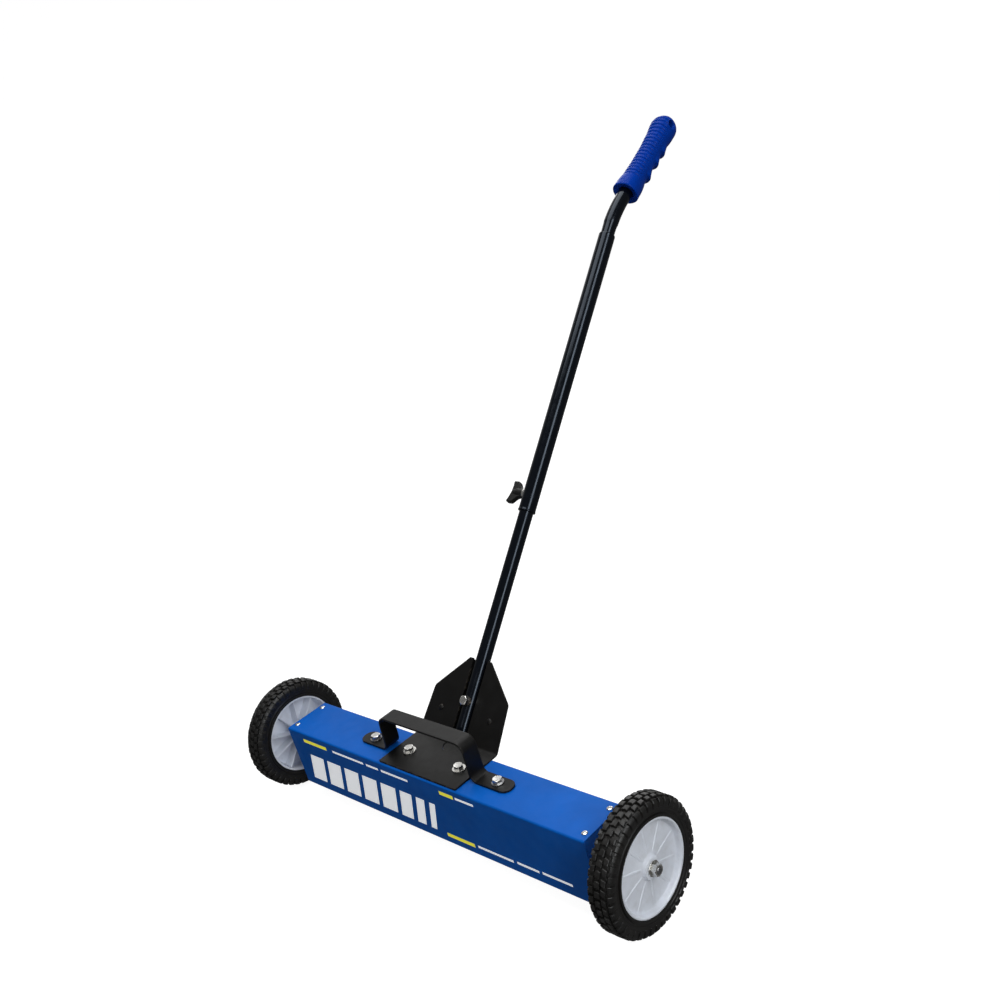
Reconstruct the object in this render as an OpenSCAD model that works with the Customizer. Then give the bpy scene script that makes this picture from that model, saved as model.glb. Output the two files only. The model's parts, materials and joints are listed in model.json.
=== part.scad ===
// Push-along magnetic nail sweeper: a folded sheet housing on two rubber-tyred
// wheels, a magnet bar that lifts off its pan, and a telescoping handle.
// +X runs along the axle, +Y points back towards the user, +Z is up.
// The origin is on the ground, under the middle of the axle. Millimetres.

/* [Wheels] */
// Outside diameter of each tyre
wheel_d = 178; // [160:1:200]
// Width of each tyre
tyre_w = 36; // [28:1:44]
// Diameter of the white rim, where the tyre's bead sits
rim_d = 125; // [110:1:135]
// Distance from the middle of the axle to the middle of each tyre
wheel_x = 362; // [350:1:380]
// Diameter of each axle bolt
axle_d = 9.5; // [8:0.5:12]

/* [Housing] */
// Length of the housing between its open ends
housing_l = 624; // [600:1:640]
// Depth of the housing across its top
housing_d = 80; // [74:1:90]
// Height of the housing's walls
housing_h = 106; // [96:1:110]
// Height of the housing's lower edge above the ground
ground_gap = 27.5; // [22:0.5:34]
// How far each wall leans in from its top fold to its lower edge
wall_lean = 4; // [0:0.5:6]
// Thickness of the housing's sheet
sheet_t = 1.5; // [1:0.1:2]

/* [Magnet bar] */
// Length of the steel bar that carries the magnets
bar_l = 580; // [560:1:584]
// Length of one magnet block
magnet_l = 70; // [60:1:72]
// Width of one magnet block
magnet_w = 54; // [40:1:56]
// Thickness of one magnet block
magnet_t = 20; // [12:1:24]

/* [Release handle] */
// Distance from the middle to each release bolt
release_x = 130; // [126:1:134]
// Width of the flat bar that the release handle is bent from
strap_w = 27; // [22:1:30]
// Height of the release handle above the housing
strap_h = 61; // [50:1:70]
// Thickness of the flat bar
strap_t = 3.2; // [2.5:0.1:4]

/* [Bracket] */
// Width of the handle bracket
bracket_w = 164; // [150:1:176]
// Length of the leaning back plate
plate_l = 124; // [110:1:135]
// Thickness of the bracket's sheet
bracket_t = 3; // [2.5:0.1:3.5]
// Distance from the middle to each bracket bolt
bracket_bolt_x = 53; // [45:1:60]

/* [Handle] */
// Lean of the handle, back from upright, in degrees
handle_tilt = 43; // [38:1:48]
// Outside diameter of the lower tube
lower_tube_d = 22.2; // [20:0.1:22.2]
// Length of the lower tube
lower_tube_l = 458; // [440:1:480]
// Outside diameter of the upper tube
upper_tube_d = 26.6; // [25:0.1:28]
// Length of the upper tube
upper_tube_l = 473; // [440:1:500]
// Height of the upper tube's lower end along the lower tube
upper_tube_start = 355; // [345:1:360]
// Bend of the neck under the grip, in degrees
neck_bend = 17; // [10:1:22]
// Length of the grip
grip_l = 177; // [150:1:195]

/* [Hidden] */
$fn = 64;
eps = 1;                // how far a cutting shape runs past a face
run_gap = 0.08;         // radial clearance of a running fit
rest_gap = 0.3;         // gap between two bodies that rest against each other

// Housing
axle_z = wheel_d / 2;
top_z = ground_gap + housing_h;
end_x = housing_l / 2;
fold_r = 3;
end_plate_t = 2;
end_plate_x = end_x - 4;            // inner face of an end plate
end_flange = 16;
cover_screw_x = end_plate_x - 5;
cover_screw_y = 26;
pan_t = 1.2;
pan_side = 14;
pan_screw_y = 20;
pan_screw_x = end_plate_x - 7;
pan_screw_d = 4;
pan_head_d = 8;
pan_head_h = 2;

// Common fasteners
bolt_d = 8;
bolt_hole_d = 8.4;
hex_af = 13;
washer_d = 18;
washer_t = 1.6;
hex_h = 5.5;
nut_h = 6.5;

// Magnet bar and release handle
magnet_z = ground_gap + pan_t + 1.3;
carrier_t = 2.5;
carrier_w = magnet_w + 8;
carrier_top = magnet_z + magnet_t + carrier_t;
carrier_lip = 12;
magnet_pitch = magnet_l + 3;
magnet_outer_x = 180;               // first magnet beyond a release bolt
sleeve_d = 12;
foot_z = top_z + rest_gap;
foot_end = 157;
foot_start = 89;
strap_top_x = 87;
strap_r = 12;

// Bracket: s runs up the back plate, measured on its front face
bracket_front = -37.5;
plate_y = 48;
plate_z = top_z + bracket_t;
bend_r = 6;
plate_shoulder = [77, 71];          // x and s of the plate's widest corner
plate_top_x = 22;
slot_w = 30;
slot_front = 24;                    // front of the slot's round end
rivet_at = [51, 41];                // x and s of the channel's rivets
ear = [62, 24, 58];                 // half width, lowest s and highest s

// Handle: u runs up the tube from the handle's root, y points back and down
root = [0, plate_y + 7, plate_z - 1.5];
plate_to_axis = (root[1] - plate_y) * cos(handle_tilt)
    - (root[2] - plate_z) * sin(handle_tilt);
plate_to_u = (plate_y - root[1]) * sin(handle_tilt)
    + (plate_z - root[2]) * cos(handle_tilt);
tube_start = 2;
tube_wall = 1.5;
upper_tube_bore = lower_tube_d + 2 * run_gap;
upper_tube_end = upper_tube_start + upper_tube_l;
channel_t = 2.5;
channel_back = lower_tube_d / 2 + 0.2;
tube_bolt_u = 56;
saddle_t = 1.8;
knob_u = upper_tube_start + 29;
knob_turn = 12;
boss_d = 16;
boss_out = 15;
stud_d = 8;
knob_in = 16;
knob_out = 43.5;
neck_d = 24.2;
neck_bore = 19.2;
spigot_l = 30;
neck_lead = 6;
neck_r = 220;
neck_in_grip = 118;
neck_join = 1.5;                    // overlap of the bend and the straight end
neck_end_d = neck_d - 0.3;
grip_start = 13;
grip_end_r = 23;
grip_waist_r = 18.5;
grip_flat = 35;
hang_hole_d = 12;
hang_hole_back = 20;
hang_hole_front = 6;

// Wheels
hub_half = tyre_w / 2 - 0.5;
hub_bore = axle_d + 2 * run_gap;
hub_face = 16;                      // outer end of the hub's boss
hub_back = -18;                     // inner end of the hub's boss
axle_af = 14.3;
axle_head_h = 6;
axle_nut_h = 8;
jam_nut_h = 7;
axle_washer_d = 20.6;
axle_washer_t = 1.6;
spacer_d = 14;

// Half depth of the housing's outside at height z
function half_depth(z) = housing_d / 2 - wall_lean * (top_z - z) / housing_h;

// Direction helpers in a plane
function unit(v) = v / norm(v);
function turn90(v) = [-v[1], v[0]];

// Arc of radius r that rounds corner b of the path a, b, c
function corner(a, b, c, r, n) =
    let (d1 = unit(a - b), d2 = unit(c - b))
    let (half = acos(d1 * d2) / 2)
    let (mid = b + unit(d1 + d2) * r / sin(half))
    let (v = b + d1 * r / tan(half) - mid)
    let (side = sign(d1[0] * d2[1] - d1[1] * d2[0]))
    [for (i = [0:n]) let (t = -side * (180 - 2 * half) * i / n)
        mid + [v[0] * cos(t) - v[1] * sin(t), v[0] * sin(t) + v[1] * cos(t)]];

// Path through the points p with every inner corner rounded
function rounded(p, r, n) = concat([p[0]],
    [for (i = [1:len(p) - 2]) each corner(p[i - 1], p[i], p[i + 1], r, n)],
    [p[len(p) - 1]]);

// Point i of the path p moved sideways by d, with mitred corners
function beside(p, i, d) =
    let (last = len(p) - 1)
    let (before = unit(p[max(i, 1)] - p[max(i, 1) - 1]))
    let (after = unit(p[min(i + 1, last)] - p[min(i + 1, last) - 1]))
    let (n = unit(turn90(before) + turn90(after)))
    p[i] + n * d / (n * turn90(before));

// Outline of a strip of thickness t on the left of the path p
function strip(p, t) = concat(
    [for (i = [0:len(p) - 1]) p[i]],
    [for (i = [len(p) - 1:-1:0]) beside(p, i, t)]);

module rounded_rectangle(l, w, r) {
    a = [[-l, -w] / 2, [l, -w] / 2, [l, w] / 2, [-l, w] / 2];
    polygon([for (i = [0:3]) each corner(a[(i + 3) % 4], a[i], a[(i + 1) % 4], r, 9)]);
}

// Places
module along_x(length) {
    rotate([90, 0, 90]) linear_extrude(length, center = true) children();
}

module both_sides() {
    children();
    mirror([1, 0, 0]) children();
}

module both_faces() {
    children();
    mirror([0, 1, 0]) children();
}

module plate_frame() {
    translate([0, plate_y, plate_z]) rotate([90 - handle_tilt, 0, 0]) children();
}

module tube_frame() {
    translate(root) rotate([-handle_tilt, 0, 0]) children();
}

module grip_frame() {
    tube_frame()
        translate([0, neck_r, upper_tube_end + neck_lead])
        rotate([-neck_bend, 0, 0])
        translate([0, -neck_r, 0])
        children();
}

module knob_frame() {
    tube_frame() translate([0, 0, knob_u]) rotate([0, -90, 0]) children();
}

module wheel_frame(side) {
    translate([side * wheel_x, 0, axle_z]) rotate([0, side * 90, 0]) children();
}

module axle_frame(side) {
    translate([0, 0, axle_z]) rotate([0, side * 90, 0]) children();
}

// Fasteners and rings, standing on z = 0
module ring(d_out, d_in, h) {
    difference() {
        cylinder(d = d_out, h = h);
        translate([0, 0, -eps]) cylinder(d = d_in, h = h + 2 * eps);
    }
}

module hex_prism(across_flats, h) {
    cylinder(d = across_flats / cos(30), h = h, $fn = 6);
}

module hex_bolt(d, across_flats, head_h, length) {
    hex_prism(across_flats, head_h);
    translate([0, 0, -length]) cylinder(d = d, h = length + head_h / 2);
}

module hex_nut(d, across_flats, h) {
    difference() {
        hex_prism(across_flats, h);
        translate([0, 0, -eps]) cylinder(d = d, h = h + 2 * eps);
    }
}

module cone_head_screw(d, head_d, head_h, length) {
    cylinder(d1 = head_d, d2 = head_d * 0.7, h = head_h);
    translate([0, 0, -length]) cylinder(d = d, h = length + head_h / 2);
}

// Countersunk hole and the flush screw in it, from below
module pan_screw_hole() {
    translate([0, 0, -eps])
        cylinder(d1 = pan_head_d + 2.3, d2 = pan_screw_d, h = pan_head_h + eps);
    translate([0, 0, -eps]) cylinder(d = pan_screw_d, h = 10);
}

module countersunk_screw() {
    cylinder(d1 = pan_head_d, d2 = pan_screw_d - 0.4, h = pan_head_h);
    cylinder(d = pan_screw_d, h = 8);
}

// Housing
module housing_outline(inset) {
    z0 = ground_gap - (inset > 0 ? eps : 0);
    z1 = top_z - inset;
    a = [[-half_depth(z0) + inset, z0], [-half_depth(z1) + inset, z1],
        [half_depth(z1) - inset, z1], [half_depth(z0) - inset, z0]];
    polygon(rounded(a, max(fold_r - inset, 0.5), 6));
}

module housing_cover() {
    color("royalblue") difference() {
        along_x(housing_l) difference() {
            housing_outline(0);
            housing_outline(sheet_t);
        }
        both_sides() both_faces()
            translate([cover_screw_x, cover_screw_y, top_z - 5]) cylinder(d = 4.2, h = 10);
        both_sides() translate([release_x, 0, top_z - 5])
            cylinder(d = sleeve_d + 4 * run_gap, h = 10);
        both_sides() translate([bracket_bolt_x, 0, top_z - 5]) cylinder(d = bolt_hole_d, h = 10);
    }
}

module end_plate() {
    base_z = ground_gap + pan_t;
    difference() {
        translate([end_x - 2, 0, 0]) intersection() {
            translate([-end_flange / 2, 0, 0]) along_x(end_flange) housing_outline(sheet_t);
            translate([-end_flange, -housing_d, base_z]) cube([end_flange, 2 * housing_d, 200]);
        }
        translate([end_plate_x - end_flange, -housing_d, base_z + end_plate_t])
            cube([end_flange, 2 * housing_d, housing_h - pan_t - sheet_t - 2 * end_plate_t]);
        both_faces() translate([cover_screw_x, cover_screw_y, top_z - 8])
            cylinder(d = 4, h = 10);
        both_faces() translate([pan_screw_x, pan_screw_y, ground_gap]) pan_screw_hole();
        translate([end_x - 30, 0, axle_z]) rotate([0, 90, 0]) cylinder(d = axle_d, h = 40);
    }
}

module end_plate_right() {
    color("mediumblue") end_plate();
}

module end_plate_left() {
    color("mediumblue") mirror([1, 0, 0]) end_plate();
}

module cover_screws() {
    color("silver") both_sides() both_faces()
        translate([cover_screw_x, cover_screw_y, top_z]) cone_head_screw(4, 8.5, 2, 8);
}

module bottom_pan() {
    side_y = half_depth(ground_gap) - sheet_t;
    color("gainsboro") difference() {
        translate([-end_x + 2, -side_y, ground_gap])
            cube([housing_l - 4, 2 * side_y, pan_side]);
        translate([-end_x, -side_y + pan_t, ground_gap + pan_t])
            cube([housing_l, 2 * (side_y - pan_t), pan_side]);
        both_sides() both_faces() translate([pan_screw_x, pan_screw_y, ground_gap])
            pan_screw_hole();
        both_sides() for (y = [-1, 1])
            translate([end_plate_x - end_flange, y * side_y - pan_t, ground_gap + pan_t])
            cube([end_flange + 4, 2 * pan_t, pan_side]);
    }
}

module pan_screws() {
    color("silver") both_sides() both_faces()
        translate([pan_screw_x, pan_screw_y, ground_gap + 0.1]) countersunk_screw();
}

// Magnet bar and release handle
module magnet_carrier() {
    color("dimgray") difference() {
        translate([-bar_l / 2, -carrier_w / 2, carrier_top - carrier_lip])
            cube([bar_l, carrier_w, carrier_lip]);
        translate([-bar_l, -carrier_w / 2 + carrier_t, carrier_top - carrier_lip - eps])
            cube([2 * bar_l, carrier_w - 2 * carrier_t, carrier_lip - carrier_t + eps]);
        both_sides() translate([release_x, 0, carrier_top - 10]) cylinder(d = bolt_d, h = 20);
    }
}

module magnet_blocks() {
    centres = concat([0], [for (s = [-1, 1]) each
        [s * magnet_pitch, s * magnet_outer_x, s * (magnet_outer_x + magnet_pitch)]]);
    color("darkslategray") for (x = centres)
        translate([x - magnet_l / 2, -magnet_w / 2, magnet_z])
        cube([magnet_l, magnet_w, magnet_t]);
}

module release_strap() {
    z1 = foot_z + strap_h - strap_t;
    path = [[-foot_end, foot_z], [-foot_start, foot_z], [-strap_top_x, z1],
        [strap_top_x, z1], [foot_start, foot_z], [foot_end, foot_z]];
    color("dimgray") difference() {
        intersection() {
            rotate([90, 0, 0]) linear_extrude(strap_w, center = true)
                polygon(strip(rounded(path, strap_r, 6), strap_t));
            translate([0, 0, foot_z - eps]) linear_extrude(strap_h + 2 * eps)
                rounded_rectangle(2 * foot_end, strap_w + 1, strap_w / 2);
        }
        both_sides() translate([release_x, 0, foot_z - 5]) cylinder(d = bolt_d, h = 20);
    }
}

module release_bolts() {
    head_z = foot_z + strap_t + washer_t;
    color("silver") both_sides() translate([release_x, 0, head_z])
        hex_bolt(bolt_d, hex_af, hex_h, head_z - carrier_top + carrier_t + nut_h + 2);
}

module release_washers() {
    color("silver") both_sides() translate([release_x, 0, foot_z + strap_t])
        ring(washer_d, bolt_d, washer_t);
}

module spacer_sleeves() {
    color("silver") both_sides() translate([release_x, 0, carrier_top])
        ring(sleeve_d, bolt_d, foot_z - carrier_top);
}

module release_nuts() {
    color("silver") both_sides()
        translate([release_x, 0, carrier_top - carrier_t - nut_h])
        hex_nut(bolt_d, hex_af, nut_h);
}

// Bracket
module plate_corner_cut() {
    reach = 3 * bracket_w;
    low = [bracket_w / 2, 0];
    high = [plate_top_x, plate_l];
    edge = rounded([low, plate_shoulder, high], 10, 6);
    polygon(concat(edge, [[plate_top_x, reach], [reach, reach], [reach, 0]]));
}

module mounting_bracket() {
    tip = [plate_y + plate_l * sin(handle_tilt), plate_z + plate_l * cos(handle_tilt)];
    path = [tip, [plate_y, plate_z], [bracket_front, plate_z]];
    cut_l = plate_l + 40;
    color("#26272b") difference() {
        along_x(bracket_w) polygon(strip(rounded(path, bend_r, 8), bracket_t));
        both_sides() plate_frame()
            translate([0, 0, -20]) linear_extrude(40) plate_corner_cut();
        plate_frame() translate([-slot_w / 2, 10, -20]) cube([slot_w, cut_l, 40]);
        translate([0, slot_front + slot_w / 2, top_z - 5]) cylinder(d = slot_w, h = 20);
        translate([-slot_w / 2, slot_front + slot_w / 2, top_z - 5]) cube([slot_w, 22, 20]);
        both_sides() translate([bracket_bolt_x, 0, top_z - 5])
            cylinder(d = bolt_hole_d, h = 20);
        both_sides() plate_frame() translate([rivet_at[0], rivet_at[1], -10])
            cylinder(d = 5, h = 20);
    }
}

// Tongue at the channel's foot, which closes the slot in the bracket's base
module channel_tongue() {
    tongue_x = slot_w / 2 - 0.5;
    slot_y = slot_front + slot_w / 2;
    root_x = (slot_w + channel_t) / 2;
    translate([0, slot_y]) circle(r = tongue_x);
    translate([-tongue_x, slot_y]) square([2 * tongue_x, 13.5]);
    translate([-root_x, 52]) square([2 * root_x, 4.5]);
}

module tube_channel() {
    plate_back = bracket_t - plate_to_axis;
    wall_x = slot_w / 2;
    low_u = -14;
    top_u = plate_l + plate_to_u;
    back = channel_back + channel_t;
    side = [[plate_back, low_u], [plate_back, top_u], [back, top_u - 10.5], [back, low_u]];
    color("#26272b") difference() {
        union() {
            tube_frame() difference() {
                along_x(2 * (wall_x + channel_t)) polygon(side);
                translate([-wall_x, plate_back - eps, low_u - eps])
                    cube([2 * wall_x, channel_back - plate_back + eps,
                        top_u - low_u + 2 * eps]);
            }
            both_sides() plate_frame()
                translate([wall_x + channel_t / 2, ear[1], -bracket_t - channel_t])
                cube([ear[0] - wall_x - channel_t / 2, ear[2] - ear[1], channel_t]);
            translate([0, 0, foot_z]) linear_extrude(1.8) channel_tongue();
        }
        both_sides() plate_frame() translate([rivet_at[0], rivet_at[1], -10])
            cylinder(d = 5, h = 20);
        tube_frame() translate([0, 0, tube_bolt_u]) rotate([-90, 0, 0])
            cylinder(d = bolt_d, h = 40);
    }
}

module channel_rivets() {
    color("#26272b") both_sides() plate_frame()
        translate([rivet_at[0], rivet_at[1], 0]) {
        cylinder(d1 = 9, d2 = 6, h = 2);
        translate([0, 0, -bracket_t - channel_t - 1]) cylinder(d = 5, h = bracket_t + channel_t + 2);
        translate([0, 0, -bracket_t - channel_t - 2]) cylinder(d = 8, h = 2);
    }
}

module bracket_bolts() {
    head_z = plate_z + washer_t;
    color("silver") both_sides() translate([bracket_bolt_x, 0, head_z])
        hex_bolt(bolt_d, hex_af, hex_h, head_z - top_z + sheet_t + nut_h + 2);
}

module bracket_washers() {
    color("silver") both_sides() translate([bracket_bolt_x, 0, plate_z])
        ring(washer_d + 2, bolt_d, washer_t);
}

module bracket_nuts() {
    color("silver") both_sides() translate([bracket_bolt_x, 0, top_z - sheet_t - nut_h])
        hex_nut(bolt_d, hex_af, nut_h);
}

module saddle_washer() {
    color("#26272b") tube_frame() difference() {
        translate([0, 0, tube_bolt_u]) rotate([90, 0, 0])
            cylinder(d = 16, h = lower_tube_d / 2 + saddle_t);
        cylinder(d = lower_tube_d, h = 200);
        translate([0, 0, tube_bolt_u]) rotate([90, 0, 0]) cylinder(d = bolt_d, h = 40);
    }
}

module tube_bolt() {
    front = lower_tube_d / 2 + saddle_t;
    back = channel_back + channel_t + nut_h + 2;
    color("silver") tube_frame() translate([0, -front, tube_bolt_u])
        rotate([90, 0, 0]) hex_bolt(bolt_d, hex_af, hex_h, front + back);
}

module tube_bolt_nut() {
    color("silver") tube_frame()
        translate([0, channel_back + channel_t, tube_bolt_u])
        rotate([-90, 0, 0]) hex_nut(bolt_d, hex_af, nut_h);
}

// Handle
module lower_tube() {
    color("#1d1e22") tube_frame() difference() {
        translate([0, 0, tube_start])
            ring(lower_tube_d, lower_tube_d - 2 * tube_wall, lower_tube_l);
        translate([0, 40, tube_bolt_u]) rotate([90, 0, 0]) cylinder(d = bolt_d, h = 80);
    }
}

module upper_tube() {
    color("#1d1e22") tube_frame() difference() {
        translate([0, 0, upper_tube_start]) ring(upper_tube_d, upper_tube_bore, upper_tube_l);
        translate([0, 0, knob_u]) rotate([0, -90, 0])
            cylinder(d = stud_d + 2 * run_gap, h = 40);
    }
}

module knob_boss() {
    color("silver") difference() {
        knob_frame() cylinder(d = boss_d, h = boss_out);
        knob_frame() translate([0, 0, -eps]) cylinder(d = stud_d + 2 * run_gap, h = 40);
        tube_frame() cylinder(d = upper_tube_d, h = upper_tube_end);
    }
}

module lock_stud() {
    color("silver") knob_frame() translate([0, 0, lower_tube_d / 2 + 0.1])
        cylinder(d = stud_d, h = knob_in + 14 - lower_tube_d / 2);
}

module wing_outline() {
    tip = 18.5;
    a = [[-7.5, knob_in], [-tip, knob_out - 9], [-tip, knob_out], [tip, knob_out],
        [tip, knob_out - 9], [7.5, knob_in]];
    polygon(rounded(a, 2.5, 4));
}

module wing_knob() {
    color("#202124") knob_frame() rotate([0, 0, knob_turn]) difference() {
        union() {
            translate([0, 0, knob_in]) cylinder(d = 15, h = knob_out - 4 - knob_in);
            rotate([90, 0, 0]) linear_extrude(9, center = true) wing_outline();
        }
        translate([0, 0, knob_in - eps])
            cylinder(d = stud_d + 2 * run_gap, h = 16 + eps);
    }
}

module neck_tube() {
    color("#1d1e22") {
        tube_frame() translate([0, 0, upper_tube_end - spigot_l])
            ring(upper_tube_bore, neck_bore, spigot_l + eps);
        tube_frame() translate([0, 0, upper_tube_end]) ring(neck_d, neck_bore, neck_lead);
        tube_frame() translate([0, neck_r, upper_tube_end + neck_lead])
            rotate([90, 0, -90]) rotate_extrude(angle = neck_bend, $fn = 128)
            translate([neck_r, 0]) difference() {
                circle(d = neck_d);
                circle(d = neck_bore);
            }
        grip_frame() translate([0, 0, -neck_join])
            ring(neck_end_d, neck_bore + 0.3, neck_in_grip + neck_join);
    }
}

// Radius of the grip at height z along it
function grip_r(z) = grip_waist_r
    + (grip_end_r - grip_waist_r) * pow(abs(2 * z / (grip_l - grip_end_r) - 1), 2);

module grip_profile() {
    side_l = grip_l - grip_end_r;
    side = [for (i = [0:12]) [grip_r(side_l * i / 12), side_l * i / 12]];
    dome = [for (a = [15:15:90]) [grip_end_r * cos(a), side_l + grip_end_r * sin(a)]];
    polygon(concat([[0, 0]], side, dome));
}

module hand_grip() {
    hole_z = grip_l - hang_hole_back;
    color("royalblue") grip_frame() translate([0, 0, grip_start]) difference() {
        rotate_extrude() grip_profile();
        translate([0, 0, -eps]) cylinder(d = neck_end_d, h = neck_in_grip - grip_start + eps);
        both_sides() translate([grip_flat / 2, -50, hole_z - 14]) cube([20, 100, 60]);
        translate([0, -hang_hole_front, hole_z]) rotate([0, 90, 0])
            cylinder(d = hang_hole_d, h = 80, center = true);
    }
}

// Wheels
module hub_section() {
    rim_r = rim_d / 2;
    polygon([[hub_bore / 2, hub_back], [13, hub_back], [14, 5], [rim_r - 5, 4],
        [rim_r - 3, -hub_half], [rim_r, -hub_half], [rim_r, hub_half],
        [rim_r - 2.5, hub_half], [rim_r - 6, 8], [24, 10], [14, hub_face],
        [hub_bore / 2, hub_face]]);
}

module wheel_hub(side) {
    ribs = 10;
    color("whitesmoke") wheel_frame(side) {
        rotate_extrude() hub_section();
        for (i = [0:ribs - 1]) rotate([0, 0, i * 360 / ribs])
            translate([13, -1, -13]) cube([rim_d / 2 - 17, 2, 18]);
    }
}

module tyre(side) {
    r = wheel_d / 2;
    h = tyre_w / 2;
    section = [[rim_d / 2, -h + 1], [rim_d / 2 + 4, -h], [r - 9, -h], [r - 2.5, -h + 3],
        [r, -h + 8], [r, h - 8], [r - 2.5, h - 3], [r - 9, h], [rim_d / 2 + 4, h],
        [rim_d / 2, h - 1]];
    color("#18191b") wheel_frame(side) rotate_extrude($fn = 96) polygon(section);
}

module wheel_hub_left() {
    wheel_hub(-1);
}

module wheel_hub_right() {
    wheel_hub(1);
}

module tyre_left() {
    tyre(-1);
}

module tyre_right() {
    tyre(1);
}

// Axles: distances run out from the middle of the sweeper
jam_nut_x = end_x - 2;
spacer_x = jam_nut_x + jam_nut_h;
inner_washer_x = wheel_x + hub_back - 0.2 - axle_washer_t;
outer_washer_x = wheel_x + hub_face + 0.2;
axle_nut_x = outer_washer_x + axle_washer_t;

module axle_bolt(side) {
    color("silver") axle_frame(side) {
        translate([0, 0, end_plate_x - axle_head_h]) hex_prism(axle_af, axle_head_h);
        translate([0, 0, end_plate_x - axle_head_h / 2])
            cylinder(d = axle_d, h = axle_nut_x + axle_nut_h + 1.5 - end_plate_x + axle_head_h / 2);
    }
}

module axle_bolt_left() {
    axle_bolt(-1);
}

module axle_bolt_right() {
    axle_bolt(1);
}

module axle_jam_nuts() {
    color("silver") for (side = [-1, 1]) axle_frame(side)
        translate([0, 0, jam_nut_x]) hex_nut(axle_d, axle_af, jam_nut_h);
}

module axle_spacers() {
    color("silver") for (side = [-1, 1]) axle_frame(side)
        translate([0, 0, spacer_x]) ring(spacer_d, axle_d, inner_washer_x - spacer_x);
}

module axle_washers() {
    color("silver") for (side = [-1, 1], x = [inner_washer_x, outer_washer_x])
        axle_frame(side) translate([0, 0, x]) ring(axle_washer_d, axle_d, axle_washer_t);
}

module axle_nuts() {
    color("silver") for (side = [-1, 1]) axle_frame(side)
        translate([0, 0, axle_nut_x]) hex_nut(axle_d, axle_af, axle_nut_h);
}

housing_cover();
end_plate_left();
end_plate_right();
cover_screws();
bottom_pan();
pan_screws();
magnet_carrier();
magnet_blocks();
release_strap();
release_bolts();
release_washers();
spacer_sleeves();
release_nuts();
mounting_bracket();
tube_channel();
channel_rivets();
bracket_bolts();
bracket_washers();
bracket_nuts();
saddle_washer();
tube_bolt();
tube_bolt_nut();
lower_tube();
upper_tube();
knob_boss();
lock_stud();
wing_knob();
neck_tube();
hand_grip();
wheel_hub_left();
wheel_hub_right();
tyre_left();
tyre_right();
axle_bolt_left();
axle_bolt_right();
axle_jam_nuts();
axle_spacers();
axle_washers();
axle_nuts();
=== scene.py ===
import json
import math

import bmesh
import bpy
from mathutils import Matrix, Vector

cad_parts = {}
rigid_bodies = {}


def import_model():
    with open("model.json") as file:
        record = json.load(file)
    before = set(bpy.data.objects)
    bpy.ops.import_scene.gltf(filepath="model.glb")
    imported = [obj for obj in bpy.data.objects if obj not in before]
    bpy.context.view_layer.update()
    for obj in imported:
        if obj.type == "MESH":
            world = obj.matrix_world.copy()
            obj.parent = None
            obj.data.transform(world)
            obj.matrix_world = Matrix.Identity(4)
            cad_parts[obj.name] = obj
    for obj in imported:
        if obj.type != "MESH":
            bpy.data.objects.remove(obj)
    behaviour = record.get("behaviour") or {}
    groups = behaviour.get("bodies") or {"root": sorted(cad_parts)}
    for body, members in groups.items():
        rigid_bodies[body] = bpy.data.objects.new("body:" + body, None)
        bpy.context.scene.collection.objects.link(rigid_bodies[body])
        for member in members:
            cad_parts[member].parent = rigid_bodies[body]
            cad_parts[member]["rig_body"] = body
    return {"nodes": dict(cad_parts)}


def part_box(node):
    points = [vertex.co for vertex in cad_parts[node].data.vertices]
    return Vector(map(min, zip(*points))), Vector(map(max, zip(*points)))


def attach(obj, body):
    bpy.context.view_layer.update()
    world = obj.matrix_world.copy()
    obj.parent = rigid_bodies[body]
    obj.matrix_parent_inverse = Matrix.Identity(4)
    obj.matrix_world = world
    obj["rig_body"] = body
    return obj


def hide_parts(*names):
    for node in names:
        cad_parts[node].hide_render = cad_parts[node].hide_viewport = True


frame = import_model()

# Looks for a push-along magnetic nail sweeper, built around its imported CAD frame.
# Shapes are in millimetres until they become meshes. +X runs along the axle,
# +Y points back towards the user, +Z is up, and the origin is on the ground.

for leftover in [o for o in bpy.data.objects if o.name in ("Cube", "Light", "Camera")]:
    bpy.data.objects.remove(leftover)
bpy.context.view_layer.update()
MM = 0.001


# ---------------------------------------------------------------- places
def box(node):
    """Lowest and highest corner of a CAD node, in millimetres."""
    low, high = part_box(node)
    return low / MM, high / MM


def shift(x, y, z):
    return Matrix.Translation((x, y, z))


def turn(degrees, axis):
    return Matrix.Rotation(math.radians(degrees), 4, axis)


TILT = 43                       # lean of the handle, back from upright
NECK_BEND, NECK_R = 17, 220     # bend of the neck, and its radius
UPPER_START, UPPER_END = 355, 828   # the upper tube's ends, along the tube
NECK_LEAD, GRIP_START = 6, 13
TUBE_BOLT, KNOB = 56, 384       # heights along the tube
SLOT_FRONT = 24                 # front of the slot's round end
PLATE_Y = 48                    # where the bracket's two faces meet
PLATE_REACH, PLATE_THICK = 124, 3.0  # the bracket's back plate, up its slope, and its sheet
AXIS_BACK, AXIS_DROP = 7, 1.5   # from there to the foot of the tube's axis
RIVET_X, RIVET_UP = 51, 41      # the rivets, across and up the back plate
LOWER_R, LOWER_BORE_R = 11.1, 9.6  # the lower tube's radii, and those of the neck's swaged end
SADDLE_RISE = 1.8               # the saddle washer's top, over the lower tube
WALL_LEAN, WALL_HEIGHT = 4.0, 106  # how far the housing's long walls lean in over their height
M8_BOLT = (8, 13, 5.5)          # thread, across flats, height of the head
M8_NUT = (13, 6.5, 8)           # across flats, height, bore
AXLE_HEX, AXLE_D = 14.3, 9.5    # across flats of the axle's head and nuts, and their thread
TOP = box("housing_cover")[1].z
BRACKET_TOP = box("bracket_washers")[0].z
AXLE_Z = box("tyre_left")[1].z / 2
WHEEL_X = (box("tyre_right")[0].x + box("tyre_right")[1].x) / 2

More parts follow.
